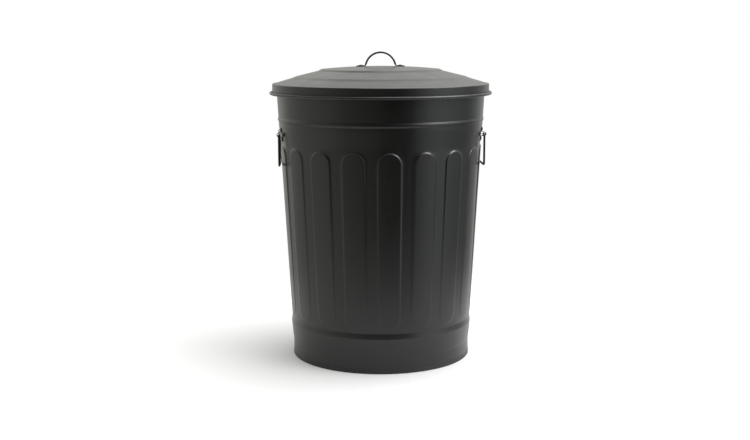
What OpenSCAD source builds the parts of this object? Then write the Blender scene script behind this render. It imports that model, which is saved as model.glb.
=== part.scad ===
// Tapered sheet-steel waste can with a lift-off stepped lid.
// The body wall is pressed with tall arch-ended panels between two swaged bands.
// Two wire bails hang in riveted straps at the sides, and a strap handle is riveted to the lid.
// Millimetres, +Z up, X through the two bails, the origin at the centre of the base on the floor.

/* [Body] */
// Thickness of the sheet steel in the wall, the base and the lid
sheet_t = 0.6; // [0.5:0.1:0.8]
// Outer radius of the wall where its taper starts
taper_r = 174.2; // [172:0.1:175]
// Height at which the taper starts
taper_z = 76; // [74:1:78]
// Radius gained per millimetre of height along the taper
taper_slope = 0.0553; // [0.053:0.0001:0.057]
// Height of the centre of the curled rim
rim_z = 519.9; // [505:0.1:530]
// Outer radius of the rim's curl in section
rim_curl_r = 2.9; // [2.4:0.1:3.2]

/* [Bands] */
// Height of the crest of the upper swage
swage_z = 457.5; // [456:0.5:460]
// Height that the upper swage stands out of the taper
swage_h = 1.3; // [0.8:0.1:1.6]
// Height below which the wall sinks towards the panels
sink_z = 446; // [445:0.5:450]
// Height of the crest of the foot ridge
ridge_z = 66; // [60:0.5:68]
// Outer radius of the crest of the foot ridge
ridge_r = 175.2; // [174.4:0.1:176]
// Outer radius of the straight foot band
foot_r = 171.3; // [169:0.1:172]
// Height of the straight foot band
foot_h = 30; // [26:1:34]

/* [Panels] */
// Number of pressed panels round the wall
panel_count = 18; // [14:2:18]
// Width of a panel at its foot
panel_foot_w = 40; // [34:0.5:41]
// Width of a panel under its arch
panel_top_w = 43.6; // [38:0.1:44]
// Height of the lowest point of a panel
panel_foot_z = 84; // [82:1:90]
// Height of the top of a panel's arch
panel_top_z = 408; // [400:1:408]
// Angle from the front to the middle of the nearest panel
panel_turn = 2; // [-4:0.5:4]
// Depth of the pressing at the foot of the panels
relief_foot = 0.5; // [0.4:0.1:1]
// Depth of the pressing at the top of the panels
relief_top = 1.9; // [1.2:0.1:2]

/* [Base] */
// Height of the base plate above the floor
base_rise = 12; // [8:1:16]
// Height of the rolled seam that joins the base to the wall
seam_h = 6; // [5:0.5:8]

/* [Lid] */
// Height of the centre of the lid's crown
lid_top_z = 556.4; // [556:0.1:558]
// Radius of the crown, out to the first step
crown_r = 113; // [108:1:116]
// Fall of the crown from its centre to the first step
crown_fall = 5.5; // [5:0.1:7]
// Outer radius of the lid's skirt
skirt_r = 206.5; // [206.5:0.1:208]
// Height of the centre of the lid's rolled bead
bead_z = 506.3; // [504:0.1:508]
// Outer radius of the bead in section
bead_r = 3; // [2.6:0.1:3.2]

/* [Lid handle] */
// Radius of the middle of the arched strap
arch_r = 28.7; // [26:0.1:30]
// Thickness of the arch and its legs
strap_t = 3.4; // [2.6:0.1:4]
// Thickness of the flattened feet
foot_t = 2; // [1.5:0.1:2.4]
// Width of the strap
strap_w = 10; // [9:0.5:14]
// Distance from the centre of the lid to the tip of each foot
foot_reach = 46; // [44:0.5:50]

/* [Side handles] */
// Diameter of the bail wire
wire_d = 4; // [3.4:0.1:4.2]
// Distance from the centre line to each bail's pivot
pivot_x = 193.4; // [193.4:0.1:194]
// Height of the bails' pivots
pivot_z = 429.2; // [428:0.1:431]
// Half of the width of a bail, to the middle of its leg
bail_half_w = 52; // [51:0.5:56]
// Drop from the pivot to the middle of the grip
bail_drop = 57; // [50:1:60]
// Radius of the grip's corners
bail_corner_r = 6; // [5:0.5:12]
// Radius of the bend between each leg and its pivot end
bail_bend_r = 3.4; // [3:0.1:3.6]
// Thickness of the bracket straps
bracket_t = 1.2; // [1:0.1:1.6]
// Width of the bracket straps
bracket_w = 11; // [9:0.5:11]
// Distance from the pivots' height to each bracket rivet
rivet_offset = 8.8; // [8.6:0.1:9]

/* [Hidden] */

round_fn = 96;           // segments of the large turned shapes
small_fn = 48;           // segments of wires, rivets and arches
gap = 0.05;              // clearance between pieces of the same body
far = 400;               // longer than anything it has to cut
drill_l = 20;            // length of the tools that cut the rivet holes
block_half = 30;         // half of the radial depth of the panel blocks
curl_open = 44;          // width of the open wedge of a curl
rim_curl_turn = 220;     // direction in which the rim's curl is open
bead_curl_turn = 122;    // direction in which the lid's bead is open
leg_inset = 0.005;       // keeps the sides of a handle leg from being tangent to the arch

// Places that follow from the driving dimensions
pitch = 360 / panel_count;
rim_wire_r = rim_curl_r - sheet_t - gap;
bead_wire_r = bead_r - sheet_t - 2 * gap;
rim_r = taper_at(rim_z) - sheet_t + rim_curl_r;
bead_x = skirt_r - sheet_t + bead_r - gap;       // the bead bulges a hair inside the skirt
strap_x = crown_r / 3;                         // distance of the lid rivets from the centre
loop_slack = 0.8;                              // half of the bail's free play in a loop
loop_half_h = wire_d / 2 + loop_slack;         // half of the height inside a bracket's loop
loop_z = pivot_z - wire_d / 2 - 0.1 + loop_half_h;
loop_nose_x = pivot_x + wire_d / 2 - 1.5;      // centre of the round nose of the loop
loop_root_x = taper_r - 4;                     // a place inside the wall, where the loops are cut off
bracket_y = bail_half_w - bail_bend_r - bracket_w / 2 - 0.4;
bracket_half_h = 13;                           // half of the height of a whole bracket
bracket_foot_h = bracket_half_h - loop_half_h - bracket_t / 2;
rivet_r = 1.9;                                 // bracket rivet shank
lid_rivet_r = 2.4;                             // lid handle rivet shank
washer_t = 1;                                  // thickness of the washers under the crown
arch_end = 70;                                 // angle from the top at which the arch runs straight
leg_drop = 5.5;                                // height of each straight leg of the lid handle
foot_slope = atan(2 * crown_fall * strap_x / pow(crown_r, 2));
elbow_x = arch_r * sin(arch_end) + leg_drop / tan(arch_end);
elbow_z = crown_at(strap_x) + gap + strap_t / 2 + (strap_x - elbow_x) * tan(foot_slope);
arch_centre_z = elbow_z + leg_drop - arch_r * cos(arch_end);
sink_foot_z = panel_top_z + 6;                 // height at which the sunk band meets the panels' valleys
sink_slope = (taper_at(sink_z) - wall_at(sink_foot_z)) / (sink_z - sink_foot_z);
flare_h = 3.5;                                 // height over which the foot band turns outwards
flare_out = 0.7;                               // how far it has turned at that height
swage_half_h = 4.7;                            // half of the height of the upper swage
swage_flat = 1.2;                              // half of the height of its crest

// Outer radius of the plain taper, which the panels' faces lie on
function taper_at(z) = taper_r + taper_slope * (z - taper_z);
// Depth of the sunk wall between the panels
function relief_at(z) =
    relief_foot + (relief_top - relief_foot) * (z - panel_foot_z) / (panel_top_z - panel_foot_z);
// Outer radius of the sunk wall between the panels
function wall_at(z) = taper_at(z) - relief_at(z);
// Outer radius of the band that sinks towards the panels, where the brackets sit
function band_at(z) = taper_at(sink_z) + sink_slope * (z - sink_z);
// Height of the lid's crown at a radius
function crown_at(r) = lid_top_z - crown_fall * pow(r / crown_r, 2);

// Corners of the lid's two steps and its shoulder: how far outside the crown, how far below its edge
lid_corners = [[6, 3.2], [49, 13.7], [57, 17], [79, 23.4], [88, 26.2]];

// A polygon of sheet thickness, from its outer line and the shift to its inner line
module sheet_section(line, shift) {
    last = len(line) - 1;
    polygon(concat(line, [for (i = [last : -1 : 0]) line[i] + shift]));
}

// The section of an open curl round a wire, with a wedge left open towards one angle
module curl_section(r, open_angle, open_width) {
    difference() {
        circle(r = r, $fn = small_fn);
        circle(r = r - sheet_t, $fn = small_fn);
        rotate(open_angle) polygon([
            [0, 0],
            [2 * r, -2 * r * tan(open_width / 2)],
            [2 * r, 2 * r * tan(open_width / 2)]
        ]);
    }
}

// The outer line of the wall from the foot to the rim
wall_line = [
    [foot_r, sheet_t + gap],
    [foot_r, foot_h],
    [foot_r + flare_out, foot_h + flare_h],
    [ridge_r, ridge_z],
    [wall_at(taper_z), taper_z],
    [wall_at(sink_foot_z), sink_foot_z],
    [taper_at(sink_z), sink_z],
    [taper_at(swage_z - swage_half_h), swage_z - swage_half_h],
    [taper_at(swage_z) + swage_h, swage_z - swage_flat],
    [taper_at(swage_z) + swage_h, swage_z + swage_flat],
    [taper_at(swage_z + swage_half_h), swage_z + swage_half_h],
    [taper_at(rim_z), rim_z]
];

// The area of a panel, looking at the wall: a slightly tapered slot with round ends
module panel_outline(inset) {
    foot = panel_foot_w / 2;
    top = panel_top_w / 2;
    translate([0, panel_foot_z + foot]) circle(r = foot - inset, $fn = small_fn);
    translate([0, panel_top_z - top]) circle(r = top - inset, $fn = small_fn);
    polygon([
        [-foot + inset, panel_foot_z + foot],
        [foot - inset, panel_foot_z + foot],
        [top - inset, panel_top_z - top],
        [-top + inset, panel_top_z - top]
    ]);
}

// Radial blocks through every panel, with one panel near the front
module panel_blocks(inset) {
    for (i = [0 : panel_count - 1])
        rotate([0, 0, i * pitch - 90 + panel_turn])
            rotate([90, 0, 90])
                translate([0, 0, taper_r - block_half])
                    linear_extrude(height = 2 * block_half) panel_outline(inset);
}

// A conical shell of the panel band, between two depths under the plain taper
module panel_shell(low_relief, high_relief, under, over) {
    margin = 4;
    bottom = panel_foot_z - margin;
    top = panel_top_z + margin;
    rotate_extrude($fn = round_fn) polygon([
        [taper_at(bottom) - low_relief - under, bottom],
        [taper_at(bottom) - over, bottom],
        [taper_at(top) - over, top],
        [taper_at(top) - high_relief - under, top]
    ]);
}

// Puts its children at both rivet places of a bracket, +X pointing out of the wall
module at_bracket_rivets() {
    for (side = [-1, 1]) {
        z = loop_z + side * rivet_offset;
        rotate([0, 0, asin(bracket_y / band_at(z))])
            translate([band_at(z), 0, z])
                rotate([0, atan(sink_slope), 0]) children();
    }
}

// Repeats its children, made for the right rear, at the four bracket places
module at_each_bracket() {
    for (mx = [0, 1])
        for (my = [0, 1])
            mirror([mx, 0, 0]) mirror([0, my, 0]) children();
}

// Body wall with its curled rim, swages, pressed panels, lock seam and rivet holes
module body_wall() {
    color([0.12, 0.12, 0.115])
    difference() {
        union() {
            rotate_extrude($fn = round_fn) {
                sheet_section(wall_line, [-sheet_t, 0]);
                translate([rim_r, rim_z]) curl_section(rim_curl_r, rim_curl_turn, curl_open);
            }
            intersection() {
                panel_shell(relief_foot, relief_top, sheet_t / 2, 0);
                panel_blocks(0);
            }
            lock_seam();
        }
        intersection() {
            panel_shell(relief_foot, relief_top, sheet_t + 1, sheet_t);
            panel_blocks(sheet_t);
        }
        at_each_bracket() at_bracket_rivets()
            rotate([0, 90, 0]) cylinder(r = rivet_r + gap, h = drill_l, center = true, $fn = small_fn);
    }
}

// The folded seam that closes the wall, up the sunk strip next to the rear panel
module lock_seam() {
    seam_w = 6;
    seam_t = 0.9;
    seam_angle = seam_w / wall_at(panel_foot_z) * 180 / PI;
    low = seam_h + 2;
    high = sink_z;
    rotate([0, 0, 90 - pitch / 2 - seam_angle / 2 + panel_turn])
        rotate_extrude(angle = seam_angle, $fn = round_fn) polygon([
            [foot_r - sheet_t / 2, low],
            [foot_r + seam_t, low],
            [foot_r + seam_t, foot_h],
            [ridge_r + seam_t, ridge_z],
            [wall_at(taper_z) + seam_t, taper_z],
            [wall_at(sink_foot_z) + seam_t, sink_foot_z],
            [taper_at(high) + seam_t, high],
            [taper_at(high) - sheet_t / 2, high],
            [wall_at(sink_foot_z) - sheet_t / 2, sink_foot_z],
            [wall_at(taper_z) - sheet_t / 2, taper_z],
            [ridge_r - sheet_t / 2, ridge_z],
            [foot_r - sheet_t / 2, foot_h]
        ]);
}

// Raised base plate whose edge is rolled round the foot of the wall
module base_pan() {
    inner_r = foot_r - sheet_t - gap;
    outer_r = foot_r + gap;
    bend = 3;                            // size of the slanted bend at the edge of the plate
    bend_in = bend - 2 * sheet_t / 3;    // the same on the upper side of the plate
    bend_drop = 2;                       // height of the bend on the upper side
    color([0.12, 0.12, 0.115])
    rotate_extrude($fn = round_fn) polygon([
        [0, base_rise - sheet_t],
        [inner_r - bend, base_rise - sheet_t],
        [inner_r - sheet_t, base_rise - bend_drop - sheet_t],
        [inner_r - sheet_t, 0],
        [outer_r + sheet_t, 0],
        [outer_r + sheet_t, seam_h],
        [outer_r, seam_h],
        [outer_r, sheet_t],
        [inner_r, sheet_t],
        [inner_r, base_rise - bend_drop],
        [inner_r - bend_in, base_rise],
        [0, base_rise]
    ]);
}

// Wire that stiffens the curled rim
module rim_wire() {
    color([0.45, 0.45, 0.45])
    rotate_extrude($fn = round_fn)
        translate([rim_r, rim_z]) circle(r = rim_wire_r, $fn = small_fn);
}

// Bracket strap for the right rear: two riveted feet on the wall and a loop round the bail's end
module bracket() {
    color([0.1, 0.1, 0.1])
    difference() {
        union() {
            intersection() {
                wall_cone(gap + bracket_t);
                for (side = [-1, 1])
                    translate([
                        loop_root_x,
                        bracket_y - bracket_w / 2,
                        loop_z + side * (bracket_half_h - bracket_foot_h / 2) - bracket_foot_h / 2
                    ])
                        cube([pivot_x - loop_root_x, bracket_w, bracket_foot_h]);
            }
            translate([0, bracket_y + bracket_w / 2, loop_z])
                rotate([90, 0, 0]) linear_extrude(height = bracket_w) loop_section();
        }
        wall_cone(gap);
        at_bracket_rivets()
            rotate([0, 90, 0]) cylinder(r = rivet_r + gap, h = drill_l, center = true, $fn = small_fn);
    }
}

// A thick cone that leans like the wall behind a bracket, and stands out of it by a distance
module wall_cone(out) {
    low = loop_z - bracket_half_h - 2;
    high = loop_z + bracket_half_h + 2;
    inner_r = taper_r / 2;
    rotate_extrude($fn = round_fn) polygon([
        [inner_r, low],
        [band_at(low) + out, low],
        [band_at(high) + out, high],
        [inner_r, high]
    ]);
}

// The loop of a bracket from the side: a flat U with a round nose
module loop_section() {
    difference() {
        loop_outline(loop_half_h + bracket_t);
        loop_outline(loop_half_h);
    }
}

module loop_outline(half_h) {
    translate([loop_nose_x, 0]) circle(r = half_h, $fn = small_fn);
    translate([loop_root_x, -half_h]) square([loop_nose_x - loop_root_x, 2 * half_h]);
}

// Both rivets of the right rear bracket, with a domed head outside and a flat tail inside
module bracket_rivets() {
    head_r = 3;
    head_h = 1;
    tail_r = 2.8;
    tail_h = 0.9;
    outside = bracket_t + 2 * gap;
    inside = -sheet_t - 2 * gap;
    color([0.2, 0.2, 0.2])
    at_bracket_rivets()
        rotate([0, 90, 0]) rivet(rivet_r, [head_r, head_h], [tail_r, tail_h], outside, inside);
}

// A rivet along Z, with a domed head above one height and a flat tail below another
module rivet(shank_r, head, tail, outside, inside) {
    rotate_extrude($fn = small_fn) polygon([
        [0, inside - tail[1]],
        [tail[0], inside - tail[1]],
        [tail[0], inside],
        [shank_r, inside],
        [shank_r, outside],
        [head[0], outside],
        [head[0] * 0.85, outside + head[1] * 0.6],
        [head[0] * 0.5, outside + head[1] * 0.92],
        [0, outside + head[1]]
    ]);
}

// Wire bail for the right side, hanging down from its two pivot ends
module bail() {
    r = wire_d / 2;
    end_y = bracket_y - bracket_w / 2 - 2;
    bend_y = bail_half_w - bail_bend_r;
    leg_h = bail_drop - bail_bend_r - bail_corner_r;
    color([0.09, 0.09, 0.09])
    translate([pivot_x, 0, pivot_z])
    union() {
        for (side = [0, 1]) mirror([0, side, 0]) {
            translate([0, end_y, 0]) rotate([-90, 0, 0])
                cylinder(r = r, h = bend_y - end_y, $fn = small_fn);
            translate([0, bend_y, -bail_bend_r]) rotate([90, 0, 90])
                rotate_extrude(angle = 90, $fn = small_fn)
                    translate([bail_bend_r, 0]) circle(r = r, $fn = small_fn);
            translate([0, bail_half_w, -bail_bend_r - leg_h])
                cylinder(r = r, h = leg_h, $fn = small_fn);
            translate([0, bail_half_w - bail_corner_r, bail_corner_r - bail_drop]) rotate([90, 0, 90])
                rotate([0, 0, -90]) rotate_extrude(angle = 90, $fn = small_fn)
                    translate([bail_corner_r, 0]) circle(r = r, $fn = small_fn);
        }
        translate([0, -bail_half_w + bail_corner_r, -bail_drop]) rotate([-90, 0, 0])
            cylinder(r = r, h = 2 * (bail_half_w - bail_corner_r), $fn = small_fn);
    }
}

// Stepped lid with a crown, two steps, a steep shoulder, a skirt and a rolled bead
module lid_shell() {
    crown_steps = 8;
    step_1_z = crown_at(crown_r);
    shoulder_z = bead_z + 17.6;
    edge_in = 1.2;           // how far the skirt's rounded top edge reaches in
    edge_rise = 0.3;         // and how far it rises above the shoulder's height
    edge_fall = 0.6;         // how far it falls to the skirt
    step_lean = 0.2;         // how far the steps' inner side is set in
    top_line = concat(
        [for (i = [0 : crown_steps]) [crown_r * i / crown_steps, crown_at(crown_r * i / crown_steps)]],
        [for (corner = lid_corners) [crown_r + corner[0], step_1_z - corner[1]]],
        [[skirt_r - edge_in, shoulder_z + edge_rise]]
    );
    last = len(top_line) - 1;
    color([0.15, 0.15, 0.145])
    difference() {
        union() {
            rotate_extrude($fn = round_fn) polygon(concat(
                top_line,
                [
                    [skirt_r, shoulder_z - edge_fall],
                    [skirt_r, bead_z - edge_rise],
                    [skirt_r - sheet_t, bead_z - edge_rise],
                    [skirt_r - sheet_t, shoulder_z - edge_in + step_lean]
                ],
                [for (i = [last : -1 : 0]) top_line[i] - [i > crown_steps ? step_lean : 0, sheet_t + gap]]
            ));
            rotate_extrude($fn = round_fn)
                translate([bead_x, bead_z]) curl_section(bead_r, bead_curl_turn, curl_open);
        }
        at_lid_rivets() cylinder(r = lid_rivet_r + gap, h = drill_l, center = true, $fn = small_fn);
    }
}

// Wire inside the lid's rolled bead
module lid_rim_wire() {
    color([0.45, 0.45, 0.45])
    rotate_extrude($fn = round_fn)
        translate([bead_x, bead_z]) circle(r = bead_wire_r, $fn = small_fn);
}

// Puts its children on the crown at both feet of the handle, square to the crown
module at_lid_rivets() {
    for (side = [0, 1])
        mirror([side, 0, 0])
            translate([strap_x, 0, crown_at(strap_x)])
                rotate([0, foot_slope, 0]) children();
}

// Arched strap handle with a flat round-ended foot on each side
module lid_handle() {
    color([0.1, 0.1, 0.1])
    difference() {
        intersection() {
            translate([0, strap_w / 2, 0]) rotate([90, 0, 0])
                linear_extrude(height = strap_w) {
                    handle_arch();
                    for (side = [0, 1]) mirror([side, 0]) handle_leg();
                }
            handle_plan();
        }
        at_lid_rivets() cylinder(r = lid_rivet_r + gap, h = drill_l, center = true, $fn = small_fn);
    }
}

// The round part of the strap from the side
module handle_arch() {
    x = far * sin(arch_end);
    z = far * cos(arch_end);
    translate([0, arch_centre_z]) difference() {
        circle(r = arch_r + strap_t / 2, $fn = round_fn);
        circle(r = arch_r - strap_t / 2, $fn = round_fn);
        polygon([[0, 0], [x, z], [far, -far], [-far, -far], [-x, z]]);
    }
}

// One straight leg, its elbow and its foot from the side
module handle_leg() {
    leg_l = leg_drop / sin(arch_end);
    translate([elbow_x, elbow_z]) {
        circle(r = strap_t / 2, $fn = small_fn);
        rotate(90 - arch_end) translate([leg_inset - strap_t / 2, 0])
            square([strap_t - 2 * leg_inset, leg_l + gap]);
        rotate(-foot_slope) translate([0, -strap_t / 2]) square([foot_reach - elbow_x + 1, foot_t]);
    }
}

// The strap seen from above: a long slot with round ends, as tall as the handle
module handle_plan() {
    tip = foot_reach - strap_w / 2;
    below = 10;
    plan_h = 60;
    translate([0, 0, lid_top_z - below]) linear_extrude(height = plan_h) {
        for (side = [-1, 1]) translate([side * tip, 0]) circle(d = strap_w, $fn = small_fn);
        square([2 * tip, strap_w], center = true);
    }
}

// Domed rivets that hold the handle's feet to the crown
module lid_handle_rivets() {
    head_r = 3.8;
    head_h = 1.2;
    tail_r = 3.4;
    tail_h = 1;
    outside = foot_t + 2 * gap;
    inside = -sheet_t - washer_t - 5 * gap;
    color([0.2, 0.2, 0.2])
    at_lid_rivets() rivet(lid_rivet_r, [head_r, head_h], [tail_r, tail_h], outside, inside);
}

// Backing washers under the crown
module lid_handle_washers() {
    washer_r = 6.5;
    color([0.5, 0.5, 0.5])
    at_lid_rivets() translate([0, 0, -sheet_t - washer_t - 3 * gap]) difference() {
        cylinder(r = washer_r, h = washer_t, $fn = small_fn);
        cylinder(r = lid_rivet_r + gap, h = drill_l, center = true, $fn = small_fn);
    }
}

body_wall();
base_pan();
rim_wire();
mirror([1, 0, 0]) mirror([0, 1, 0]) bracket();  // left_front_bracket
mirror([1, 0, 0]) bracket();  // left_rear_bracket
mirror([0, 1, 0]) bracket();  // right_front_bracket
bracket();  // right_rear_bracket
mirror([1, 0, 0]) mirror([0, 1, 0]) bracket_rivets();  // left_front_rivets
mirror([1, 0, 0]) bracket_rivets();  // left_rear_rivets
mirror([0, 1, 0]) bracket_rivets();  // right_front_rivets
bracket_rivets();  // right_rear_rivets
mirror([1, 0, 0]) bail();  // left_bail
bail();  // right_bail
lid_shell();
lid_rim_wire();
lid_handle();
lid_handle_rivets();
lid_handle_washers();
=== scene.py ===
import math

import bmesh
import bpy
import numpy as np
from mathutils import Matrix, Vector


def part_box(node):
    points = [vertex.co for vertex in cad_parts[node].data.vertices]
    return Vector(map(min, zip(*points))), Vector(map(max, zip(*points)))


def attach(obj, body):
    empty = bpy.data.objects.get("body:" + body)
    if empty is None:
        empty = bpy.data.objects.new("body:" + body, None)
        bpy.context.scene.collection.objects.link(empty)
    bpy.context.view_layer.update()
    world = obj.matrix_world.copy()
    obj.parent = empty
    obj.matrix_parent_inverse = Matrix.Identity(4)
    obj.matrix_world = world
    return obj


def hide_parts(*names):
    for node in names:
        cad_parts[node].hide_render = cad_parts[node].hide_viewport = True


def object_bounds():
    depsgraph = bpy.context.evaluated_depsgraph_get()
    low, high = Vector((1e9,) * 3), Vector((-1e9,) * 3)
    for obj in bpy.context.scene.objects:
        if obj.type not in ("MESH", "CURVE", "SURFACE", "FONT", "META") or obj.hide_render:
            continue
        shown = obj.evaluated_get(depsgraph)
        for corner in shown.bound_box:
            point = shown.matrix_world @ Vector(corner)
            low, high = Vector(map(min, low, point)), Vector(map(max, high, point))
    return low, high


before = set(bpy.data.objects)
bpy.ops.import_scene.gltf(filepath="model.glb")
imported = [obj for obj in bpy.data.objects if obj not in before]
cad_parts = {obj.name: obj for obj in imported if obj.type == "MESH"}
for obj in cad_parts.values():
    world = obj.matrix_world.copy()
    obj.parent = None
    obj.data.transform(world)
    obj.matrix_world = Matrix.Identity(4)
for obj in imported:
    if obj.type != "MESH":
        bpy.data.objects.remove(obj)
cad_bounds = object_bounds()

# Shapes are worked out in millimetres and become metres when a mesh is made.
MM = 0.001


def box_mm(node):
    """The lowest and highest corners of a CAD node, in millimetres."""
    low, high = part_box(node)
    return low / MM, high / MM


# ---------------------------------------------------------------- sizes that the CAD parts in model.glb give

rim_low, rim_high = box_mm("rim_wire")
bead_low, bead_high = box_mm("lid_rim_wire")
bail_low, bail_high = box_mm("right_bail")
strap_high = box_mm("lid_handle")[1]
bracket_low, bracket_high = box_mm("right_rear_bracket")
lid_high = box_mm("lid_shell")[1]

RIM_Z = (rim_low.z + rim_high.z) / 2
RIM_R = rim_high.x - (rim_high.z - rim_low.z) / 2
BEAD_Z = (bead_low.z + bead_high.z) / 2
BEAD_X = bead_high.x - (bead_high.z - bead_low.z) / 2
WIRE_R = (bail_high.x - bail_low.x) / 2
PIVOT_X = (bail_high.x + bail_low.x) / 2
PIVOT_Z = bail_high.z - WIRE_R
BAIL_HALF_W = bail_high.y - WIRE_R
BAIL_DROP = PIVOT_Z - bail_low.z - WIRE_R
BRACKET_Y = (bracket_low.y + bracket_high.y) / 2
BRACKET_W = bracket_high.y - bracket_low.y
LOOP_Z = (bracket_low.z + bracket_high.z) / 2
BRACKET_HALF_H = (bracket_high.z - bracket_low.z) / 2
LID_TOP_Z = lid_high.z
FOOT_REACH = strap_high.x
STRAP_W = 2 * strap_high.y
ARCH_TOP_Z = strap_high.z

# ---------------------------------------------------------------- sizes that the design fixes

SHEET = 0.6
GAP = 0.05               # between parts that lie against each other
FOOT_R = 171.3
FOOT_H = 30.0
RIDGE_R = 175.2
RIDGE_Z = 66.0
TAPER_R = 174.2
TAPER_Z = 76.0
TAPER_SLOPE = 0.0553
SWAGE_Z = 457.5
SWAGE_H = 1.3
SWAGE_HALF_H = 4.7
SWAGE_FLAT = 1.2
SINK_Z = 446.0
RIM_CURL_R = 2.9
RIM_ROLL_END = -118      # degrees round the rim wire
BEAD_R = 3.0
BEAD_ROLL_END = 460      # degrees round the lid's wire
HEM_H = 6.0
BASE_RISE = 12.0

PANEL_COUNT = 18
PANEL_FOOT_R = 20.0
PANEL_TOP_R = 21.8
PANEL_FOOT_Z = 84.0
PANEL_TOP_Z = 408.0
RELIEF_FOOT = 0.5
RELIEF_TOP = 1.9
PANEL_TURN = 2.0         # degrees from the front to the middle of the nearest panel
PITCH = 360 / PANEL_COUNT
BAND_LOW = 79.0
BAND_HIGH = 414.0

CROWN_R = 113.0
CROWN_FALL = 5.5
SKIRT_R = 206.5
LID_CORNERS = [(6, 3.2, 3), (49, 13.7, 4), (57, 17.0, 4), (79, 23.4, 6), (88, 26.2, 5)]
SHOULDER_H = 17.6        # height of the lid's shoulder above its bead
SHOULDER_R = 1.2
STRAP_T = 3.4
HANDLE_FOOT_T = 2.0
ARCH_R = 28.7
RIVET_X = CROWN_R / 3
LOOP_HALF_H = 2.8
BRACKET_T = 1.2
RIVET_OFFSET = 8.8       # from the middle of a bracket to each of its rivets
BAIL_CORNER_R = 6.0
BAIL_BEND_R = 3.4
ELBOW_R = 3.4            # bend between the lid handle's arch and its foot


def taper_at(z):
    """Radius of the plain taper, which the panels' faces lie on."""
    return TAPER_R + TAPER_SLOPE * (z - TAPER_Z)


def relief_at(z):
    """Depth of the sunk wall between the panels."""
    share = (z - PANEL_FOOT_Z) / (PANEL_TOP_Z - PANEL_FOOT_Z)
    return RELIEF_FOOT + (RELIEF_TOP - RELIEF_FOOT) * share


def wall_at(z):
    """Radius of the sunk wall between the panels."""
    return taper_at(z) - relief_at(z)


SINK_SLOPE = (taper_at(SINK_Z) - wall_at(BAND_HIGH)) / (SINK_Z - BAND_HIGH)


def band_at(z):
    """Radius of the band that sinks towards the panels, where the brackets sit."""
    return taper_at(SINK_Z) + SINK_SLOPE * (z - SINK_Z)


def crown_at(r):
    """Height of the lid's crown at a radius."""
    return LID_TOP_Z - CROWN_FALL * (r / CROWN_R) ** 2


RIVET_SLOPE = math.atan(2 * CROWN_FALL * RIVET_X / CROWN_R ** 2)    # of the crown, at a lid rivet


# ---------------------------------------------------------------- lines in a plane

ROLL_START = 180         # degrees at which a rolled edge leaves the wall or the skirt
ROLL_STEPS_INSIDE = 28
ROLL_STEPS_OUTSIDE = 32


def arc(centre, radius, start, end, steps):
    """Points on a circle from one angle to another, both included, in degrees."""
    angles = np.radians(np.linspace(start, end, steps + 1))
    return [(centre[0] + radius * math.cos(a), centre[1] + radius * math.sin(a)) for a in angles]


def fillet(line, steps=4, hold=0.4):
    """Rounds the corners of an open line of (x, y, radius) points, with a short flat after each arc."""
    points = [Vector(p[:2]) for p in line]
    result = [tuple(points[0])]
    for before, corner, after, (_, _, radius) in zip(points, points[1:], points[2:], line[1:]):
        back = before - corner
        ahead = after - corner
        half = back.angle(ahead, math.pi) / 2
        if radius == 0 or half > math.radians(89.7):
            result.append(tuple(corner))
            continue
        reach = min(radius / math.tan(half), 0.45 * back.length, 0.45 * ahead.length)
        back.normalize()
        ahead.normalize()
        turn_r = reach * math.tan(half)
        centre = corner + (back + ahead).normalized() * turn_r / math.sin(half)
        start = corner + back * reach - centre
        end = corner + ahead * reach - centre
        sweep = start.angle_signed(end)
        result.append(tuple(corner + back * (reach * 1.05 + min(hold, 0.05 * reach))))
        for step in range(steps + 1):
            turn = -sweep * step / steps
            x = start.x * math.cos(turn) - start.y * math.sin(turn)
            y = start.x * math.sin(turn) + start.y * math.cos(turn)
            result.append((centre.x + x, centre.y + y))
        result.append(tuple(corner + ahead * (reach * 1.05 + min(hold, 0.05 * reach))))
    result.append(tuple(points[-1]))
    return result


def spaced(line, longest):
    """The same line with points added on segments longer than the longest length."""
    result = [line[0]]
    for start, end in zip(line, line[1:]):
        parts = max(1, math.ceil(math.dist(start, end) / longest))
        for part in range(1, parts + 1):
            share = part / parts
            result.append(tuple(a + (b - a) * share for a, b in zip(start, end)))
    return result


def square_to(line, i):
    """The direction square to a line at one of its points, to the left of its run."""
    before = Vector(line[max(i - 1, 0)])
    after = Vector(line[min(i + 1, len(line) - 1)])
    ahead = (after - before).normalized()
    return Vector((-ahead.y, ahead.x))


def rolled_edge(centre, radius, end):
    """A sheet's edge rolled round a wire: along its inner face, over its lip and back outside."""
    inside_r = radius - SHEET
    end_angle = math.radians(end)
    radial = Vector((math.cos(end_angle), math.sin(end_angle)))
    way = 1 if end > ROLL_START else -1
    onward = way * Vector((-radial.y, radial.x))
    middle = Vector(centre) + radial * (inside_r + SHEET / 2)
    lip = arc((0, 0), 1, 0, 180, 4)[1:-1]
    inside = arc(centre, inside_r, ROLL_START, end, ROLL_STEPS_INSIDE)
    over = [tuple(middle - radial * x * SHEET / 2 + onward * y * SHEET / 2) for x, y in lip]
    return inside + over + arc(centre, radius, end, ROLL_START, ROLL_STEPS_OUTSIDE)


def smooth_step(share):
    """0 to 1 with no slope at either end."""
    return share * share * (3 - 2 * share)


# ---------------------------------------------------------------- meshes

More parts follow.
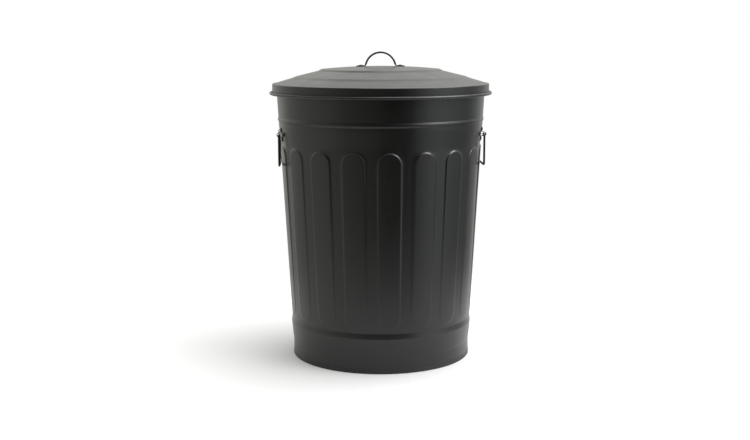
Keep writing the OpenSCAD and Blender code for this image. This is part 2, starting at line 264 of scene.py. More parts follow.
class Shell:
    """Grids of points in millimetres that become one mesh."""

    def __init__(self):
        self.points = []
        self.faces = []
        self.wear = []

    def grid(self, points, wear=0.0, around=False):
        """Adds a grid of points [rows, columns, 3]; around joins the last column to the first."""
        points = np.asarray(points, float)
        rows, columns = points.shape[:2]
        start = len(self.points)
        self.points.extend(points.reshape(-1, 3))
        self.wear.extend(np.broadcast_to(wear, (rows, columns)).reshape(-1))
        for i in range(rows - 1):
            for j in range(columns if around else columns - 1):
                a = start + i * columns + j
                b = start + i * columns + (j + 1) % columns
                self.faces.append((a, b, b + columns, a + columns))
        return start

    def cap(self, first, count):
        """Closes a ring of points with a fan round its middle."""
        ring = np.array(self.points[first:first + count])
        middle = len(self.points)
        self.points.append(ring.mean(0))
        self.wear.append(self.wear[first])
        for j in range(count):
            self.faces.append((first + j, first + (j + 1) % count, middle))

    def lathe(self, section, columns, wear=0.0):
        """Turns a line of (radius, height) points round Z."""
        angles = np.radians(PANEL_TURN - 90 - PITCH / 2 + np.arange(columns) * 360 / columns)
        section = np.array(section)
        radius = section[:, 0:1]
        height = np.repeat(section[:, 1:2], columns, axis=1)
        points = np.stack([radius * np.cos(angles), radius * np.sin(angles), height], axis=2)
        self.grid(points, np.reshape(wear, (-1, 1)), around=True)

    def tube(self, rings, wear=0.0):
        """A closed tube through rings of points [rings, points, 3], capped at both ends."""
        rings = np.asarray(rings, float)
        start = self.grid(rings, wear, around=True)
        count = rings.shape[1]
        self.cap(start, count)
        self.cap(start + (len(rings) - 1) * count, count)

    def moved(self, matrix):
        """The same shell with its points moved by a 4 x 4 matrix."""
        result = Shell()
        result.points = [tuple(matrix @ Vector(p)) for p in self.points]
        result.faces = list(self.faces)
        result.wear = list(self.wear)
        return result

    def add(self, other):
        """Adds another shell's points and faces."""
        start = len(self.points)
        self.points.extend(other.points)
        self.wear.extend(other.wear)
        self.faces.extend(tuple(start + k for k in face) for face in other.faces)

    def piece(self, name, body, slot, material, replaced, sharp=50):
        """Makes the object, on its body, in its material, in place of its CAD node."""
        mesh = bpy.data.meshes.new(name)
        mesh.from_pydata([tuple(c * MM for c in p) for p in self.points], [], self.faces)
        wear = mesh.attributes.new("wear", "FLOAT", "POINT")
        wear.data.foreach_set("value", np.array(self.wear, np.float32))
        work = bmesh.new()
        work.from_mesh(mesh)
        bmesh.ops.remove_doubles(work, verts=work.verts, dist=0.001 * MM)
        bmesh.ops.recalc_face_normals(work, faces=work.faces)
        for face in work.faces:
            face.smooth = True
        work.to_mesh(mesh)
        work.free()
        mesh.set_sharp_from_angle(angle=math.radians(sharp))
        mesh.materials.append(material)
        piece = bpy.data.objects.new(name, mesh)
        bpy.context.scene.collection.objects.link(piece)
        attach(piece, body)
        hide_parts(replaced)
        return piece


def rounded_box_ring(half_x, half_y, radius, steps=3, across=1):
    """Points round a rectangle with round corners, and across segments on its long sides."""
    ring = []
    corners = [(1, 1, 0), (-1, 1, 90), (-1, -1, 180), (1, -1, 270)]
    for side_x, side_y, start in corners:
        centre = (side_x * (half_x - radius), side_y * (half_y - radius))
        ring.extend(arc(centre, radius, start, start + 90, steps))
        if start in (0, 180):
            reach = half_x - radius
            for part in range(1, across):
                ring.append((side_x * reach * (1 - 2 * part / across), side_y * half_y))
    return ring


# ---------------------------------------------------------------- materials

class Nodes:
    """Short names for making a material's nodes and links."""

    def __init__(self, name):
        self.material = bpy.data.materials.new(name)
        self.material.use_nodes = True
        self.tree = self.material.node_tree
        self.shader = self.tree.nodes["Principled BSDF"]
        self.place = self.tree.nodes.new("ShaderNodeTexCoord").outputs["Object"]

    def link(self, source, target):
        """Joins an output socket to an input socket."""
        self.tree.links.new(source, target)

    def noise(self, scale, detail=3.0, roughness=0.5, stretch=None):
        """Noise with a scale in cells per metre, stretched along the axes if asked."""
        node = self.tree.nodes.new("ShaderNodeTexNoise")
        node.inputs["Scale"].default_value = scale
        node.inputs["Detail"].default_value = detail
        node.inputs["Roughness"].default_value = roughness
        place = self.place
        if stretch:
            mapping = self.tree.nodes.new("ShaderNodeMapping")
            mapping.inputs["Scale"].default_value = stretch
            self.link(place, mapping.inputs["Vector"])
            place = mapping.outputs["Vector"]
        self.link(place, node.inputs["Vector"])
        return node.outputs["Fac"]

    def ranged(self, value, low, high, to_low, to_high):
        """Maps a value from one range to another, and holds it there."""
        node = self.tree.nodes.new("ShaderNodeMapRange")
        limits = {"From Min": low, "From Max": high, "To Min": to_low, "To Max": to_high}
        for key, number in limits.items():
            node.inputs[key].default_value = number
        self.link(value, node.inputs["Value"])
        return node.outputs["Result"]

    def maths(self, operation, first, second):
        """A sum or product of two values, each a number or a socket."""
        node = self.tree.nodes.new("ShaderNodeMath")
        node.operation = operation
        for key, value in enumerate((first, second)):
            if isinstance(value, float):
                node.inputs[key].default_value = value
            else:
                self.link(value, node.inputs[key])
        return node.outputs["Value"]

    def mixed(self, share, first, second):
        """A colour between two colours, each a tuple or a socket."""
        node = self.tree.nodes.new("ShaderNodeMix")
        node.data_type = "RGBA"
        self.link(share, node.inputs["Factor"])
        for key, value in (("A", first), ("B", second)):
            socket = [s for s in node.inputs if s.name == key and s.type == "RGBA"][0]
            if isinstance(value, tuple):
                socket.default_value = (*value, 1)
            else:
                self.link(value, socket)
        return [s for s in node.outputs if s.type == "RGBA"][0]

    def wear(self):
        """How rubbed each place is, as the meshes hold it."""
        node = self.tree.nodes.new("ShaderNodeAttribute")
        node.attribute_name = "wear"
        return node.outputs["Fac"]

    def bump(self, height, distance, strength, under=None):
        """A bump of a height in metres, on top of another if one is given."""
        node = self.tree.nodes.new("ShaderNodeBump")
        node.inputs["Distance"].default_value = distance
        node.inputs["Strength"].default_value = strength
        self.link(height, node.inputs["Height"])
        if under:
            self.link(under, node.inputs["Normal"])
        return node.outputs["Normal"]


def powder_coat(name, colour, worn, roughness):
    """Satin powder coat: orange peel, faint cloudiness, dust specks and rubbed places."""
    n = Nodes(name)
    cloud = n.noise(9.0, 4.0)
    specks = n.ranged(n.noise(900.0, 2.0), 0.71, 0.78, 0.0, 0.5)
    rub = n.maths("MULTIPLY", n.wear(), n.ranged(n.noise(260.0, 5.0, 0.7), 0.42, 0.62, 0.0, 1.0))
    streaks = n.noise(30.0, 3.0, 0.6, stretch=(1.0, 1.0, 0.25))
    light = tuple(c * 1.35 for c in colour)
    dusty = tuple(c * 3.0 for c in colour)
    clouded = n.mixed(n.ranged(cloud, 0.3, 0.7, 0.0, 1.0), colour, light)
    specked = n.mixed(specks, clouded, dusty)
    n.link(n.mixed(rub, specked, worn), n.shader.inputs["Base Color"])
    varied = n.ranged(streaks, 0.3, 0.7, roughness - 0.03, roughness + 0.03)
    rubbed = n.maths("MULTIPLY", rub, 0.12)
    n.link(n.maths("ADD", varied, rubbed), n.shader.inputs["Roughness"])
    peel = n.bump(n.noise(520.0, 2.0, 0.4), 0.00002, 0.5)
    dents = n.bump(n.noise(14.0, 1.0, 0.3), 0.0004, 0.12, under=peel)
    n.link(dents, n.shader.inputs["Normal"])
    n.shader.inputs["IOR"].default_value = 1.5
    return n.material


def steel_wire(name, colour, roughness):
    """Drawn steel wire: dull zinc bloom in patches, brighter and glossier between them, and fine pits."""
    n = Nodes(name)
    bloom = n.noise(160.0, 4.0, 0.6)
    pits = n.noise(2400.0, 2.0)
    dull = tuple(c * 0.7 for c in colour)
    n.link(n.mixed(n.ranged(bloom, 0.35, 0.65, 0.0, 1.0), dull, colour), n.shader.inputs["Base Color"])
    n.link(n.ranged(bloom, 0.3, 0.7, roughness + 0.1, roughness - 0.05), n.shader.inputs["Roughness"])
    n.link(n.bump(pits, 0.00003, 0.5), n.shader.inputs["Normal"])
    n.shader.inputs["Metallic"].default_value = 1.0
    return n.material


STEEL = (0.32, 0.32, 0.31)
RUBBED = (0.03, 0.03, 0.029)
body_coat = powder_coat("body_coat", (0.0045, 0.0045, 0.0041), RUBBED, 0.35)
lid_coat = powder_coat("lid_coat", (0.006, 0.006, 0.0056), RUBBED, 0.37)
handle_coat = powder_coat("handle_coat", (0.003, 0.003, 0.003), RUBBED, 0.42)
fitting_coat = powder_coat("fitting_coat", (0.0045, 0.0045, 0.0042), RUBBED, 0.36)
bail_coat = powder_coat("bail_coat", (0.003, 0.003, 0.003), RUBBED, 0.42)
wire_steel = steel_wire("wire_steel", STEEL, 0.4)
zinc_plate = steel_wire("zinc_plate", (0.5, 0.51, 0.52), 0.35)


# ---------------------------------------------------------------- the can

CELL_COLUMNS = 16
WALL_COLUMNS = PANEL_COUNT * CELL_COLUMNS
ARC_STEPS = 6
SIDE_STEPS = 12
FLANK = 3.8              # width of a panel's sloped edge


def panel_loop(grow):
    """A panel's outline, grown by a distance, as four sides of (across, height) points.

    The sides run right, up, left and down, and meet half way round the arches."""
    foot_r = PANEL_FOOT_R + grow
    top_r = PANEL_TOP_R + grow
    foot_centre = (0, PANEL_FOOT_Z + PANEL_FOOT_R)
    top_centre = (0, PANEL_TOP_Z - PANEL_TOP_R)
    bottom = arc(foot_centre, foot_r, -135, -45, CELL_COLUMNS)
    straight_h = top_centre[1] - foot_centre[1]
    rise = spaced([(foot_r, foot_centre[1]), (top_r, top_centre[1])], straight_h / SIDE_STEPS + 0.01)
    right = arc(foot_centre, foot_r, -45, 0, ARC_STEPS)[:-1]
    right += rise
    right += arc(top_centre, top_r, 0, 45, ARC_STEPS)[1:]
    top = arc(top_centre, top_r, 135, 45, CELL_COLUMNS)
    left = [(-x, z) for x, z in right]
    return [np.array(side) for side in (bottom, right, top, left)]


def wall_point(angle, z, raised):
    """A point of the wall's outer face at an angle from the panel's middle, in degrees."""
    radius = wall_at(z) + relief_at(z) * raised
    return radius, np.radians(angle), z


def to_angle(side):
    """Turns (across, height) points into (angle, height) points."""
    return np.stack([np.degrees(np.arcsin(side[:, 0] / taper_at(side[:, 1]))), side[:, 1]], axis=1)


def panel_cell():
    """One panel and half of the valley on each side, as grids of (angle, height, raised)."""
    grids = []
    flank_shares = [-1.0, -0.6, -0.3, 0.0, 0.3, 0.6, 1.0]
    loops = []
    for share in flank_shares:
        sides = [to_angle(side) for side in panel_loop(share * FLANK / 2)]
        loops.append((sides, 1 - smooth_step((share + 1) / 2)))
    inner_sides = loops[0][0]
    bottom, right, top, left = inner_sides
    rows = len(right)
    grid = np.zeros((rows, CELL_COLUMNS + 1, 3))
    for i in range(rows):
        v = i / (rows - 1)
        for j in range(CELL_COLUMNS + 1):
            u = j / CELL_COLUMNS
            edges = (1 - v) * bottom[j] + v * top[j] + (1 - u) * left[i] + u * right[i]
            corners = (1 - v) * ((1 - u) * bottom[0] + u * bottom[-1])
            corners += v * ((1 - u) * top[0] + u * top[-1])
            grid[i, j, :2] = edges - corners
            grid[i, j, 2] = 1
    grids.append(grid)
    outline = loops[-1][0]
    half = PITCH / 2
    across = np.linspace(-half, half, CELL_COLUMNS + 1)
    heights = outline[1][:, 1]
    heights = BAND_LOW + (BAND_HIGH - BAND_LOW) * (heights - heights[0]) / (heights[-1] - heights[0])
    frame_sides = [
        np.stack([across, np.full_like(across, BAND_LOW)], axis=1),
        np.stack([np.full_like(heights, half), heights], axis=1),
        np.stack([across, np.full_like(across, BAND_HIGH)], axis=1),
        np.stack([np.full_like(heights, -half), heights], axis=1),
    ]
    between = [0.5 * (a + b) for a, b in zip(outline, frame_sides)]
    loops.append((between, 0.0))
    loops.append((frame_sides, 0.0))
    for side in range(4):
        rows = []
        for sides, raised in loops:
            line = sides[side]
            rows.append(np.column_stack([line, np.full(len(line), raised)]))
        grids.append(np.array(rows))
    return grids


def add_panels(shell, under):
    """All the panels, on the wall's outer face or under it by a thickness."""
    cell = panel_cell()
    for i in range(PANEL_COUNT):
        turn = math.radians(i * PITCH - 90 + PANEL_TURN)
        for grid in cell:
            radius, angle, z = wall_point(grid[..., 0], grid[..., 1], grid[..., 2])
            radius = radius - under
            angle = angle + turn
            shell.grid(np.stack([radius * np.cos(angle), radius * np.sin(angle), z], axis=2))


def lower_line(under):
    """The wall from the panel band down to the foot."""
    line = [
        (wall_at(BAND_LOW) - under, BAND_LOW, 0),
        (wall_at(TAPER_Z) - under, TAPER_Z, 5),
        (RIDGE_R - under, RIDGE_Z, 1.6),
        (FOOT_R + 0.7 - under, FOOT_H + 3.5, 10),
        (FOOT_R - under, FOOT_H, 10),
        (FOOT_R - under, SHEET + GAP, 0),
    ]
    return spaced(fillet(line), 12)


def upper_line(under):
    """The wall from the panel band up to the rim."""
    crest = taper_at(SWAGE_Z) + SWAGE_H
    line = [
        (wall_at(BAND_HIGH) - under, BAND_HIGH, 0),
        (taper_at(SINK_Z) - under, SINK_Z, 60),
        (taper_at(SWAGE_Z - SWAGE_HALF_H) - under, SWAGE_Z - SWAGE_HALF_H, 1.5),
        (crest - under, SWAGE_Z - SWAGE_FLAT, 1.5),
        (crest - under, SWAGE_Z + SWAGE_FLAT, 1.5),
        (taper_at(SWAGE_Z + SWAGE_HALF_H) - under, SWAGE_Z + SWAGE_HALF_H, 1.5),
        (taper_at(RIM_Z) - under, RIM_Z, 0),
    ]
    return spaced(fillet(line), 12)


def lock_seam():
    """The folded seam that closes the wall, on the sunk strip beside the rear panel."""
    half_w = 3.0
    proud = 0.9
    sunk = 0.3
    low = HEM_H + 2
    high = SINK_Z
    line = [
        (FOOT_R, low, 0),
        (FOOT_R, FOOT_H, 6),
        (RIDGE_R, RIDGE_Z, 3),
        (wall_at(TAPER_Z), TAPER_Z, 5),
        (wall_at(BAND_HIGH), BAND_HIGH, 60),
        (taper_at(SINK_Z), SINK_Z, 0),
    ]
    middle = math.radians(90 - PITCH / 2 + PANEL_TURN)
    ring = rounded_box_ring(half_w, (proud + sunk) / 2, 0.45, across=4)
    rings = []
    stations = spaced(fillet(line), 20)
    for radius, z in stations:
        end = min(z - low, high - z)
        height = proud * min(1.0, 0.45 + end / 2)
        points = []
        for across, out in ring:
            share = out / (proud + sunk) + 0.5
            r = radius - sunk + (height + sunk) * share
            angle = middle + across / radius
            points.append((r * math.cos(angle), r * math.sin(angle), z))
        rings.append(points)
    seam = Shell()
    seam.tube(rings)
    return seam


def build_wall():
    """Body wall: one sheet with pressed panels, swages, a curled rim and its lock seam."""
    shell = Shell()
    upper = upper_line(0)
    upper += rolled_edge((RIM_R, RIM_Z), RIM_CURL_R, RIM_ROLL_END)[1:]
    upper += list(reversed(upper_line(SHEET)))[1:]
    upper_wear = [0.35 if z > RIM_Z + 1.5 else 0.0 for _, z in upper]
    lower = lower_line(0) + list(reversed(lower_line(SHEET)))
    lower_wear = [0.3 if abs(z - RIDGE_Z) < 1.2 and r > RIDGE_R - 0.3 else 0.0 for r, z in lower]
    shell.lathe(upper, WALL_COLUMNS, upper_wear)
    shell.lathe(lower, WALL_COLUMNS, lower_wear)
    add_panels(shell, 0)
    add_panels(shell, SHEET)
    shell.add(lock_seam())
    return shell.piece("wall_skin", "can", "black_coat", body_coat, "body_wall")


def build_base():
    """Base pan: raised plate, inner leg and the seam rolled round the wall's foot."""
    inner = FOOT_R - SHEET - GAP
    outer = FOOT_R + GAP
    line = [
        (0, BASE_RISE, 0),
        (inner - 2.6, BASE_RISE, 1.6),
        (inner, BASE_RISE - 2, 1.6),
        (inner, SHEET, 0),
        (outer, SHEET, 0),
        (outer, HEM_H, 0.15),
        (outer + SHEET, HEM_H, 0.3),
        (outer + SHEET, 0, 0.45),
        (inner - SHEET, 0, 0.45),
        (inner - SHEET, BASE_RISE - 2.5, 1.2),
        (inner - 3, BASE_RISE - SHEET, 1.2),
        (0, BASE_RISE - SHEET, 0),
    ]
    section = spaced(fillet(line), 24)
    wear = [0.8 if z < 0.7 and r > inner - 1 else 0.25 if r > outer + 0.3 else 0.0 for r, z in section]
    shell = Shell()
    shell.lathe(section, WALL_COLUMNS, wear)
    return shell.piece("base_skin", "can", "black_coat", body_coat, "base_pan", sharp=60)


# ---------------------------------------------------------------- the lid

def lid_outer_line():
    """The top of the lid from its centre to the shoulder, with both steps."""
    crown = [(CROWN_R * i / 10, crown_at(CROWN_R * i / 10), 0) for i in range(10)]
    step_z = crown_at(CROWN_R)
    return crown + [
        (CROWN_R, step_z, 3),
        *[(CROWN_R + out, step_z - fall, radius) for out, fall, radius in LID_CORNERS],
        (SKIRT_R - SHOULDER_R, BEAD_Z + SHOULDER_H + 0.3, SHOULDER_R),
        (SKIRT_R, BEAD_Z + SHOULDER_H - 0.6, SHOULDER_R),
        (SKIRT_R, BEAD_Z + 1, 0),
    ]


def lid_inner_line():
    """The underside of the lid, from the skirt to the centre."""
    outer = lid_outer_line()[:-3]
    under = [(max(r - 0.1, 0), z - SHEET - GAP, radius) for r, z, radius in outer]
    inside = SKIRT_R - SHEET
    low = BEAD_Z + SHOULDER_H - 1
    shoulder = [(SKIRT_R - 1.5, low + 0.7, 1.0), (inside, low, 1.0), (inside, BEAD_Z + 1, 0)]
    return list(reversed(under + shoulder))


def build_lid():
    """Lid shell: crown, steps, shoulder, skirt and a bead rolled outwards round its wire."""
    centre = (BEAD_X, BEAD_Z)
    section = fillet(lid_outer_line())
    section += rolled_edge(centre, BEAD_R, BEAD_ROLL_END)
    section += fillet(lid_inner_line())
    wear = []
    for point in section:
        on_bead = math.dist(point, centre) < BEAD_R + 0.1 and point[0] > BEAD_X + 1.5
        wear.append(0.35 if on_bead else 0.0)
    shell = Shell()
    shell.lathe(section, WALL_COLUMNS, wear)
    return shell.piece("lid_skin", "lid", "lid_coat", lid_coat, "lid_shell")


def on_crown(side):
    """The place of a lid rivet: on the crown and square to it, with +X away from the centre."""
    place = Matrix.Translation((RIVET_X, 0, crown_at(RIVET_X))) @ Matrix.Rotation(RIVET_SLOPE, 4, "Y")
    mirror = Matrix.Scale(-1, 4, (1, 0, 0)) if side < 0 else Matrix.Identity(4)
    return mirror @ place


def strap_line():
    """The middle line of the handle from the centre of its arch to the tip of a foot."""
    arch_end = 70
    centre_z = ARCH_TOP_Z - STRAP_T / 2 - ARCH_R
    foot_z = crown_at(RIVET_X) + GAP + HANDLE_FOOT_T / 2
    end = math.radians(90 - arch_end)
    leave = (ARCH_R * math.cos(end), centre_z + ARCH_R * math.sin(end))
    run = Vector((math.sin(end), -math.cos(end)))
    fall = math.tan(RIVET_SLOPE)
    reach = (foot_z + (RIVET_X - leave[0]) * fall - leave[1]) / (run.y + run.x * fall)
    elbow = (leave[0] + run.x * reach, leave[1] + run.y * reach)
    tip = (FOOT_REACH, foot_z - (FOOT_REACH - RIVET_X) * fall)
    arch = arc((0, centre_z), ARCH_R, 90, 90 - arch_end, 22)
    bend = fillet([(*leave, 0), (*elbow, ELBOW_R), (*tip, 0)], steps=8)
    return arch[:-1] + bend


def strap_size(x, z):
    """Half of the handle's width and thickness: flattened, round-ended feet and a rounded arch."""
    half = STRAP_W / 2
    over = max(0.0, abs(x) - (FOOT_REACH - half))
    half_w = math.sqrt(max(half * half - over * over, 0.01))
    rise = smooth_step(min(max((z - crown_at(RIVET_X) - 1.4) / 4, 0), 1))
    half_t = (HANDLE_FOOT_T + (STRAP_T - HANDLE_FOOT_T) * rise) / 2
    return half_w, half_t


def build_lid_handle():
    """Arched strap with well rounded edges and flattened, round-ended feet."""
    line = spaced(strap_line(), 2.0)
    tip = FOOT_REACH - STRAP_W / 2
    flat = [p for p in line if p[0] <= tip]
    run = (Vector(line[-1]) - Vector(line[-2])).normalized()
    last = Vector(flat[-1])
    ends = []
    for step in range(1, 11):
        x = min(tip + STRAP_W / 2 * math.sin(math.radians(9 * step)), FOOT_REACH - 0.02)
        ends.append(tuple(last + run * (x - last.x) / run.x))
    half_line = flat + ends
    whole = [(-x, z) for x, z in reversed(half_line[1:])] + half_line
    shell = Shell()
    rings = []
    wear = []
    for i, (x, z) in enumerate(whole):
        out = square_to(whole, i)
        half_w, half_t = strap_size(x, z)
        ring = rounded_box_ring(half_w, half_t, min(half_t * 0.85, half_w * 0.5), steps=5, across=4)
        rings.append([(x + out.x * t, w, z + out.y * t) for w, t in ring])
        wear.append([0.6 if abs(w) > half_w - 0.5 else 0.1 for w, _ in ring])
    shell.tube(rings, wear)
    return shell.piece("handle_strap", "lid", "lid_handle_coat", handle_coat, "lid_handle")


def rivet_profile(head_r, head_h, shank_r, outside, inside, tail_r, tail_h):
    """A rivet from the crown of its head to the end of its tail, as (radius, height) points."""
    head = []
    for degrees in range(0, 91, 10):
        turn = math.radians(degrees)
        head.append((head_r * math.sin(turn), outside + 0.25 + (head_h - 0.25) * math.cos(turn)))
    shank = [(head_r - 0.15, outside), (shank_r, outside), (shank_r, inside), (tail_r - 0.1, inside)]
    end = inside - tail_h
    tail = [(tail_r, inside - 0.3), (tail_r - 0.3, end), (tail_r * 0.45, end), (0, end + 0.2)]
    return head + shank + tail


def turned(profile, columns=28):
    """A shell turned from a profile, with the top of its head worn."""
    shell = Shell()
    top = max(z for _, z in profile)
    wear = [0.8 if top - z < 0.8 else 0.1 for _, z in profile]
    shell.lathe(profile, columns, wear)
    return shell


def build_lid_rivets():
    """One domed rivet through each foot of the lid handle."""
    profile = rivet_profile(
        head_r=3.8,
        head_h=1.2,
        shank_r=2.4,
        outside=HANDLE_FOOT_T + 0.1,
        inside=-SHEET - 1.25,
        tail_r=3.4,
        tail_h=1.0,
    )
    shell = Shell()
    for side in (-1, 1):
        shell.add(turned(profile).moved(on_crown(side)))
    return shell.piece("handle_rivets", "lid", "fittings", fitting_coat, "lid_handle_rivets")


def build_washers():
    """A zinc-plated backing washer under the crown for each of those rivets."""
    low = -SHEET - 1.15
    high = low + 1
    inner_r = 2.45
    outer_r = 6.5
    edge = 0.2
    ring = [
        (inner_r, low),
        (inner_r, high),
        (outer_r - edge, high),
        (outer_r, high - edge),
        (outer_r, low + edge),
        (outer_r - edge, low),
        (inner_r, low),
    ]
    shell = Shell()
    for side in (-1, 1):
        shell.add(turned(ring, columns=40).moved(on_crown(side)))
    return shell.piece("handle_washers", "lid", "zinc", zinc_plate, "lid_handle_washers", sharp=35)


# ---------------------------------------------------------------- the side handles

def mirrored(side_x, side_y):
    """The matrix that takes a right rear piece to one of the four places."""
    return Matrix.Diagonal((side_x, side_y, 1, 1))


def build_bracket(name, side_x, side_y):
    """Strap bracket: two feet that follow the wall, and a loop round the bail's end."""
    half_t = BRACKET_T / 2
    foot_bend_r = 1.4
    foot_corner = 2.2
    out_x = PIVOT_X + WIRE_R - 1.5
    loop_r = LOOP_HALF_H + half_t
    tip, high, low, foot = [
        band_at(LOOP_Z + z) + GAP + half_t for z in (BRACKET_HALF_H, loop_r, -loop_r, -BRACKET_HALF_H)]
    upper = fillet([(tip, BRACKET_HALF_H, 0), (high, loop_r, foot_bend_r), (out_x, loop_r, 0)], steps=5)
    nose = arc((out_x, 0), loop_r, 90, -90, 14)
    lower = fillet([(out_x, -loop_r, 0), (low, -loop_r, foot_bend_r), (foot, -BRACKET_HALF_H, 0)], steps=5)
    whole = spaced(upper[:-1] + nose + lower[1:], 1.6)
    rings = []
    wear = []
    wall = band_at(LOOP_Z)
    for i, (x, z) in enumerate(whole):
        out = square_to(whole, i)
        end = BRACKET_HALF_H - abs(z)
        trim = foot_corner - math.sqrt(max(foot_corner ** 2 - max(foot_corner - end, 0) ** 2, 0))
        half_w = BRACKET_W / 2 - trim
        follow = smooth_step(min(max((abs(z) - LOOP_HALF_H) / 1.5, 0), 1))
        ring = []
        row = []
        for w, t in rounded_box_ring(half_w, half_t, 0.28, steps=3, across=6):
            y = BRACKET_Y + w
            bow = math.sqrt(wall ** 2 - y ** 2) - wall
            ring.append((x + bow * follow + out.x * t, y, LOOP_Z + z + out.y * t))
            row.append(0.7 if abs(w) > half_w - 0.3 or abs(z) < 2 else 0.1)
        rings.append(ring)
        wear.append(row)
    shell = Shell()
    shell.tube(rings, wear)
    shell = shell.moved(mirrored(side_x, side_y))
    return shell.piece(name + "_strap", "can", "fittings", fitting_coat, name + "_bracket")


def build_bracket_rivets(name, side_x, side_y):
    """Two domed rivets through a bracket and the wall."""
    profile = rivet_profile(
        head_r=3.0,
        head_h=1.0,
        shank_r=1.9,
        outside=BRACKET_T + 0.1,
        inside=-SHEET - 0.1,
        tail_r=2.8,
        tail_h=0.9,
    )
    shell = Shell()
    for side in (-1, 1):
        z = LOOP_Z + side * RIVET_OFFSET
        place = (
            mirrored(side_x, side_y)
            @ Matrix.Rotation(math.asin(BRACKET_Y / band_at(z)), 4, "Z")
            @ Matrix.Translation((band_at(z), 0, z))
            @ Matrix.Rotation(math.atan(SINK_SLOPE) + math.pi / 2, 4, "Y")
        )
        shell.add(turned(profile, columns=24).moved(place))
    return shell.piece(name + "_studs", "can", "fittings", fitting_coat, name + "_rivets")


def build_bail(name, side):
    """Wire bail: pivot ends, bends, legs and a grip, from one length of wire."""
    end_y = BRACKET_Y - BRACKET_W / 2 - 2
    half_line = fillet([
        (0, -BAIL_DROP, 0),
        (BAIL_HALF_W, -BAIL_DROP, BAIL_CORNER_R),
        (BAIL_HALF_W, 0, BAIL_BEND_R),
        (end_y, 0, 0),
    ], steps=8, hold=0.0)
    half_line = spaced(half_line, 4.0)
    end_rings = [(1 - math.cos(a), math.sin(a)) for a in np.radians((60, 30, 8))]
    whole = [(-y, z) for y, z in reversed(half_line[1:])] + half_line
    sides = 20
    rings = []
    wear = []
    for i, (y, z) in enumerate(whole):
        out = square_to(whole, i)
        ring = []
        for k in range(sides):
            turn = 2 * math.pi * k / sides
            across = WIRE_R * math.cos(turn)
            sideways = WIRE_R * math.sin(turn)
            ring.append((PIVOT_X + sideways, y + out.x * across, PIVOT_Z + z + out.y * across))
        rings.append(ring)
        in_loop = z > -1 and abs(y) < BRACKET_Y + BRACKET_W / 2 + 1
        wear.append([0.9 if in_loop else 0.12] * sides)
    for place, order in ((0, 1), (-1, -1)):
        base = np.array(rings[place])
        middle = base.mean(0)
        ahead = (middle - np.array(rings[place + order]).mean(0))
        ahead = ahead / np.linalg.norm(ahead)
        extra = [middle + (base - middle) * s + ahead * WIRE_R * 0.5 * c for c, s in end_rings]
        for ring in extra:
            if order > 0:
                rings.insert(0, ring)
                wear.insert(0, wear[0])
            else:
                rings.append(ring)
                wear.append(wear[-1])
    shell = Shell()
    shell.tube(rings, wear)
    shell = shell.moved(mirrored(side, 1))
    return shell.piece(name + "_wire", name + "_bail", "bails", bail_coat, name + "_bail")


build_wall()
build_base()
build_lid()
build_lid_handle()
build_lid_rivets()
build_washers()
for side_name, side_x in (("left", -1), ("right", 1)):
    build_bail(side_name, side_x)
    for end_name, side_y in (("front", -1), ("rear", 1)):
        build_bracket(f"{side_name}_{end_name}", side_x, side_y)
        build_bracket_rivets(f"{side_name}_{end_name}", side_x, side_y)
for wire in ("rim_wire", "lid_rim_wire"):
    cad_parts[wire].data.materials.clear()
    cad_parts[wire].data.materials.append(wire_steel)

# ---------------------------------------------------------------- floor, light and camera

low_corner = cad_bounds[0]
FLOOR_R = 0.85
FLOOR_DROP = 0.1 * MM    # the floor lies this far under the can
FADE_R = 0.42            # radius from which the floor fades into the white around it
FADE_END_R = FLOOR_R * 0.96


def build_floor():
    """A pale floor, white where the light falls on it."""
    mesh = bpy.data.meshes.new("floor")
    work = bmesh.new()
    bmesh.ops.create_circle(work, cap_ends=True, radius=FLOOR_R, segments=128)
    work.to_mesh(mesh)
    work.free()
    floor = bpy.data.objects.new("floor", mesh)
    floor.location = (0, 0, low_corner[2] - FLOOR_DROP)
    bpy.context.scene.collection.objects.link(floor)
    n = Nodes("floor_paper")
    grain = n.noise(300.0, 3.0)
    n.link(n.mixed(grain, (0.88, 0.88, 0.88), (0.92, 0.92, 0.92)), n.shader.inputs["Base Color"])
    n.shader.inputs["Roughness"].default_value = 0.8
    n.shader.inputs["Specular IOR Level"].default_value = 0.1
    distance = n.tree.nodes.new("ShaderNodeVectorMath")
    distance.operation = "LENGTH"
    n.link(n.place, distance.inputs[0])
    solid = n.ranged(distance.outputs["Value"], FADE_R, FADE_END_R, 1.0, 0.0)
    n.link(solid, n.shader.inputs["Alpha"])
    mesh.materials.append(n.material)


# What the can reflects from round it, as (degrees from the front towards +X, brightness): first
# near the floor's level, then higher up. The last angle meets the first.
LOW_SIDES = [
    (-180, 0.85), (-154, 0.8), (-144, 0.6), (-136, 0.4), (-120, 0.42), (-106, 0.62), (-82, 0.82),
    (-70, 0.82), (-56, 0.68), (-40, 0.42), (-6, 0.36), (0, 0.12), (8, 0.02), (32, 0.02), (42, 0.35),
    (50, 0.75), (58, 0.95), (74, 0.7), (82, 0.5), (92, 0.35), (102, 0.26), (112, 0.2), (130, 0.25),
    (144, 0.9), (180, 0.85),
]
HIGH_SIDES = [
    (-180, 0.85), (-138, 1.15), (-108, 0.85), (-64, 0.5), (-18, 0.06), (32, 0.0), (44, 0.9), (58, 1.7),
    (80, 1.4), (96, 0.7), (112, 0.5), (128, 0.9), (152, 1.05), (180, 0.85),
]
OVERHEAD = 1.1
LOW_TO_HIGH = (-0.28, 0.04)      # heights of the view direction between which the low sides give way
HIGH_TO_OVERHEAD = (0.7, 0.95)
WORLD_PEAK = 4.0         # the ramps hold shares of this brightness
WARM = (1.0, 1.0, 0.94)
COOL = (0.97, 1.0, 1.01)


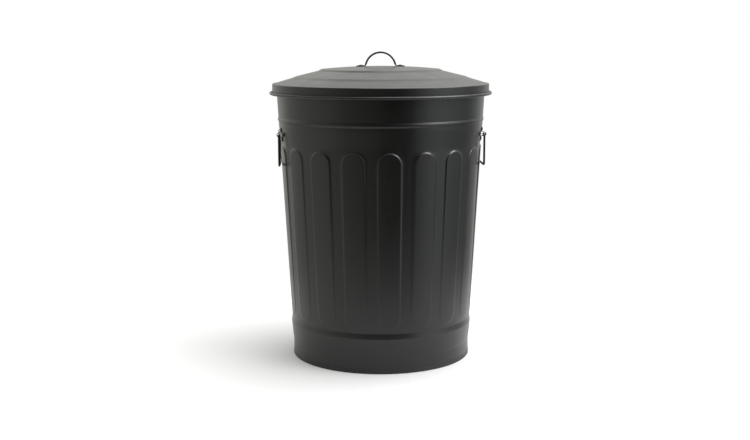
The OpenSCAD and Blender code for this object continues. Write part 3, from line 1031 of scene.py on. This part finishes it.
class World:
    """Short names for making the world's nodes and links."""

    def __init__(self):
        world = bpy.data.worlds.new("studio")
        bpy.context.scene.world = world
        world.use_nodes = True
        self.tree = world.node_tree
        self.tree.nodes.clear()

    def new(self, kind, *sources, **settings):
        """A node with its settings, and its first inputs linked to the sources or set to them."""
        node = self.tree.nodes.new("ShaderNode" + kind)
        for key, value in settings.items():
            setattr(node, key, value)
        for key, source in enumerate(sources):
            if isinstance(source, bpy.types.NodeSocket):
                self.tree.links.new(source, node.inputs[key])
            elif source is not None:
                node.inputs[key].default_value = source
        return node

    def sides(self, share, stops):
        """A ramp round the can: warm to the left, cool to the right, as shares of the peak."""
        node = self.new("ValToRGB", share)
        elements = node.color_ramp.elements
        while len(elements) < len(stops):
            elements.new(0.5)
        for element, (angle, brightness) in zip(elements, stops):
            element.position = (angle + 180) / 360
            tint = COOL if 35 < angle < 135 else WARM
            element.color = (*[c * brightness / WORLD_PEAK for c in tint], 1)
        return node.outputs["Color"]

    def blend(self, height, low, high, below, above):
        """Turns from one colour to another between two heights of the view direction."""
        share = self.new("MapRange", height, low, high).outputs["Result"]
        return self.new("MixRGB", share, below, above).outputs["Color"]


def build_world():
    """White behind the can for the camera, and a studio's light and dark cards for its reflections."""
    w = World()
    place = w.new("TexCoord").outputs["Generated"]
    x, y, z = w.new("SeparateXYZ", place).outputs
    forward = w.new("Math", y, -1.0, operation="MULTIPLY").outputs[0]
    angle = w.new("Math", x, forward, operation="ARCTAN2").outputs[0]
    share = w.new("MapRange", angle, -math.pi, math.pi).outputs["Result"]
    round_can = w.blend(z, *LOW_TO_HIGH, w.sides(share, LOW_SIDES), w.sides(share, HIGH_SIDES))
    overhead = (*[OVERHEAD / WORLD_PEAK] * 3, 1)
    colour = w.blend(z, *HIGH_TO_OVERHEAD, round_can, overhead)
    studio = w.new("Background", colour, WORLD_PEAK)
    white = w.new("Background", (1, 1, 1, 1), 1.0)
    seen = w.new("LightPath").outputs["Is Camera Ray"]
    both = w.new("MixShader", seen, studio.outputs[0], white.outputs[0])
    w.new("OutputWorld", both.outputs[0])


def softbox(name, place, target, size, power, diffuse=True):
    """An area light that faces a point, hidden from the camera.

    Without diffuse it is only a card, seen in reflections."""
    light = bpy.data.lights.new(name, "AREA")
    light.shape = "RECTANGLE"
    light.size, light.size_y = size
    light.energy = power
    holder = bpy.data.objects.new(name, light)
    holder.location = place
    holder.rotation_euler = (Vector(target) - Vector(place)).to_track_quat("-Z", "Y").to_euler()
    holder.visible_camera = False
    holder.visible_diffuse = diffuse
    bpy.context.scene.collection.objects.link(holder)


CAMERA_TURN = 2.6        # degrees that the camera stands towards the can's left bail
CAMERA_TILT = 9.3        # degrees that it looks down
CAMERA_ROLL = -0.12      # degrees that it is turned about its own axis
CAMERA_PLACE = (-0.1109, -2.1953, 0.619)
CAMERA_LENS = 54.9


def build_camera():
    """The camera, at the height and angle of a product picture."""
    data = bpy.data.cameras.new("camera")
    data.lens = CAMERA_LENS
    data.sensor_width = 36
    camera = bpy.data.objects.new("camera", data)
    camera.location = CAMERA_PLACE
    turn = Matrix.Rotation(math.radians(-CAMERA_TURN), 3, "Z")
    aim = turn @ Matrix.Rotation(math.radians(90 - CAMERA_TILT), 3, "X")
    camera.rotation_euler = (aim @ Matrix.Rotation(math.radians(CAMERA_ROLL), 3, "Z")).to_euler()
    bpy.context.scene.collection.objects.link(camera)
    bpy.context.scene.camera = camera


CAN_MIDDLE = (0, 0, 0.25)
CAN_UPPER = (0, 0, 0.5)

build_camera()
build_floor()
build_world()
softbox("key", (0.8, -0.05, 2.5), target=CAN_MIDDLE, size=(2.2, 2.2), power=62)
softbox("side_card", (1.4, -0.46, 1.43), target=CAN_MIDDLE, size=(1.1, 0.6), power=24, diffuse=False)
softbox("back_top", (0.4, 1.8, 1.9), target=CAN_UPPER, size=(2.4, 1.2), power=6)
bpy.context.scene.view_settings.view_transform = "Standard"
